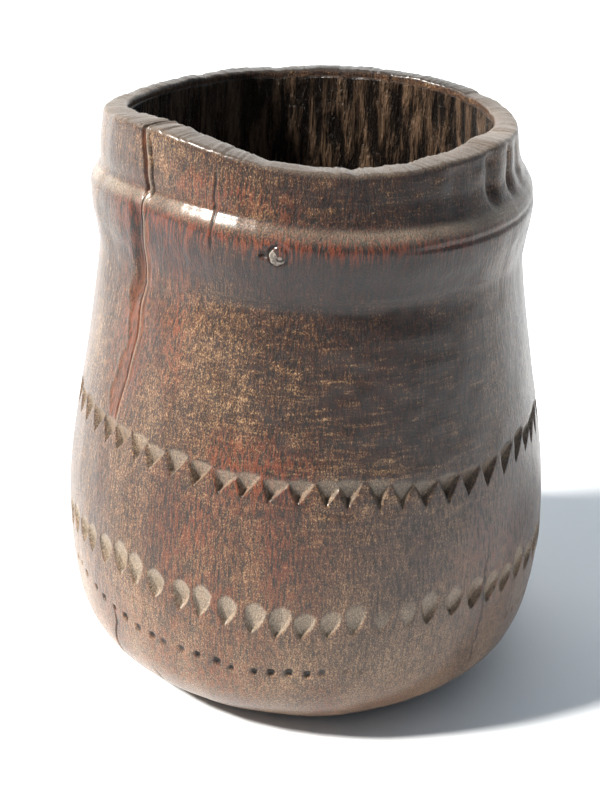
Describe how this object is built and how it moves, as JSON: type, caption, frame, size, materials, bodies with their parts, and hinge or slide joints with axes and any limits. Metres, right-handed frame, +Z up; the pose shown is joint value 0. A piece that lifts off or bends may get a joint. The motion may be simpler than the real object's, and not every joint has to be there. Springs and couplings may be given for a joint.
{
  "type": "carved wooden vessel",
  "caption": "Hollowed wooden cup or pot with a swelling belly, a waist, a stepped collar at the mouth, carved triangle bands and an inserted bottom disc.",
  "frame": {"origin": "centre of the foot, on the surface the vessel stands on", "axes": "+Z up through the mouth; the front of the vessel is -Y and its right side is +X"},
  "size_m": [0.115, 0.115, 0.1319],
  "materials": {
    "aged_wood": "old dark reddish-brown wood with upright grain, handled to a soft shine, paler worn rim and edges",
    "disc_wood": "old dark brown board, dull",
    "peg_wood": "pale grey end grain"
  },
  "bodies": {
    "root": {"vessel_wall": "aged_wood", "bottom_disc": "disc_wood", "shoulder_peg": "peg_wood"}
  },
  "joints": []
}
